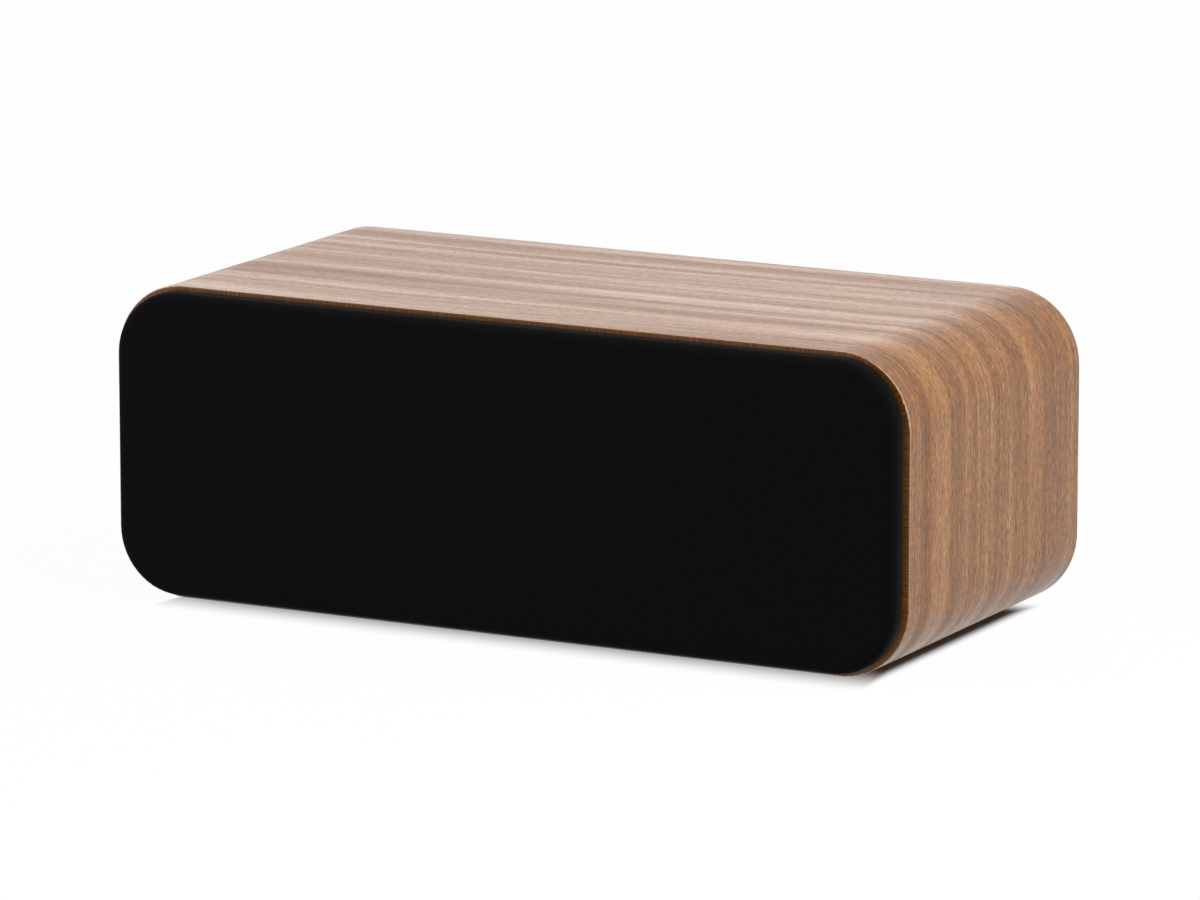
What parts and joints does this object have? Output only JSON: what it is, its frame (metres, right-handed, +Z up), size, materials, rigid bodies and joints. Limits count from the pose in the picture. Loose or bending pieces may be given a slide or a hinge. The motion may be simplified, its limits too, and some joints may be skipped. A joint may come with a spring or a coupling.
{
  "type": "center channel speaker",
  "caption": "Low wide loudspeaker cabinet with rounded corners in walnut veneer, a black cloth grille on magnets, woofers beside a dome tweeter, a rear port and screw terminals.",
  "frame": {"origin": "on the surface it stands on, under the middle of its bounding box", "axes": "+X along its width, to the right as the listener sees it; the grille faces -Y; +Z up"},
  "size_m": [0.44, 0.207, 0.163],
  "materials": {
    "walnut_veneer": "satin",
    "black_board": "matte",
    "bare_board": "matte",
    "foot_rubber": "matte",
    "grille_cloth": "matte",
    "frame_plastic": "matte",
    "magnet_metal": "plated",
    "basket_metal": "satin",
    "surround_rubber": "matte",
    "cone_black": "satin",
    "spider_cloth": "matte",
    "coil_copper": "gloss",
    "motor_steel": "satin",
    "ferrite": "matte",
    "trim_black": "satin",
    "screw_black": "satin",
    "dome_cloth": "satin",
    "moulded_black": "textured",
    "terminal_gold": "polished",
    "cap_red": "gloss",
    "cap_black": "gloss",
    "circuit_board": "satin",
    "capacitor_film": "gloss",
    "resistor_cement": "matte",
    "lead_sheath": "satin",
    "wadding_white": "fluffy"
  },
  "bodies": {
    "cabinet": {"baffle_magnets": "magnet_metal", "brace_left": "bare_board", "brace_right": "bare_board", "cabinet_wrap": "walnut_veneer", "crossover_board": "circuit_board", "crossover_capacitors": "capacitor_film", "crossover_inductors": "coil_copper", "crossover_resistors": "resistor_cement", "foot_front_left": "foot_rubber", "foot_front_right": "foot_rubber", "foot_rear_left": "foot_rubber", "foot_rear_right": "foot_rubber", "front_baffle": "black_board", "lead_tweeter": "lead_sheath", "lead_woofer_left": "lead_sheath", "lead_woofer_right": "lead_sheath", "port_tube": "moulded_black", "rear_panel": "black_board", "terminal_nuts": "motor_steel", "terminal_panel": "moulded_black", "terminal_screws": "screw_black", "terminal_stem_black": "terminal_gold", "terminal_stem_red": "terminal_gold", "tweeter_dome": "dome_cloth", "tweeter_faceplate": "trim_black", "tweeter_magnet": "ferrite", "tweeter_rear_chamber": "moulded_black", "tweeter_screws": "screw_black", "tweeter_top_plate": "motor_steel", "tweeter_voice_coil": "coil_copper", "tweeter_yoke": "motor_steel", "wadding": "wadding_white", "woofer_basket_left": "basket_metal", "woofer_basket_right": "basket_metal", "woofer_magnet_left": "ferrite", "woofer_magnet_right": "ferrite", "woofer_screws_left": "screw_black", "woofer_screws_right": "screw_black", "woofer_spider_left": "spider_cloth", "woofer_spider_right": "spider_cloth", "woofer_surround_left": "surround_rubber", "woofer_surround_right": "surround_rubber", "woofer_top_plate_left": "motor_steel", "woofer_top_plate_right": "motor_steel", "woofer_trim_ring_left": "trim_black", "woofer_trim_ring_right": "trim_black", "woofer_yoke_left": "motor_steel", "woofer_yoke_right": "motor_steel"},
    "grille": {"grille_frame": "frame_plastic", "grille_cloth": "grille_cloth", "grille_magnets": "magnet_metal"},
    "woofer_left_cone": {"woofer_cone_left": "cone_black", "woofer_voice_coil_left": "coil_copper"},
    "woofer_right_cone": {"woofer_cone_right": "cone_black", "woofer_voice_coil_right": "coil_copper"},
    "red_insert": {"terminal_insert_red": "terminal_gold"},
    "red_cap": {"terminal_cap_red": "cap_red"},
    "black_insert": {"terminal_insert_black": "terminal_gold"},
    "black_cap": {"terminal_cap_black": "cap_black"}
  },
  "joints": [
    {"name": "grille_pull", "type": "slide", "parent": "cabinet", "child": "grille", "axis": [0, -1, 0], "range_m": [0, 0.1]},
    {"name": "woofer_left_travel", "type": "slide", "parent": "cabinet", "child": "woofer_left_cone", "axis": [0, -1, 0], "range_m": [-0.004, 0.004], "stiffness_N_per_m": 800, "deforming": ["woofer_surround_left", "woofer_spider_left"]},
    {"name": "woofer_right_travel", "type": "slide", "parent": "cabinet", "child": "woofer_right_cone", "axis": [0, -1, 0], "range_m": [-0.004, 0.004], "stiffness_N_per_m": 800, "deforming": ["woofer_surround_right", "woofer_spider_right"]},
    {"name": "red_insert_rise", "type": "slide", "parent": "cabinet", "child": "red_insert", "axis": [0, 1, 0], "range_m": [0, 0.006]},
    {"name": "red_cap_turn", "type": "hinge", "parent": "red_insert", "child": "red_cap", "pos_m": [-0.014, 0.09, 0.0835], "axis": [0, 1, 0], "range_deg": [0, 2160]},
    {"name": "black_insert_rise", "type": "slide", "parent": "cabinet", "child": "black_insert", "axis": [0, 1, 0], "range_m": [0, 0.006]},
    {"name": "black_cap_turn", "type": "hinge", "parent": "black_insert", "child": "black_cap", "pos_m": [0.014, 0.09, 0.0835], "axis": [0, 1, 0], "range_deg": [0, 2160]}
  ],
  "couplings": [
    {"joint": "red_cap_turn", "follows": "red_insert_rise", "rad_per_m": 6283.2},
    {"joint": "black_cap_turn", "follows": "black_insert_rise", "rad_per_m": 6283.2}
  ]
}
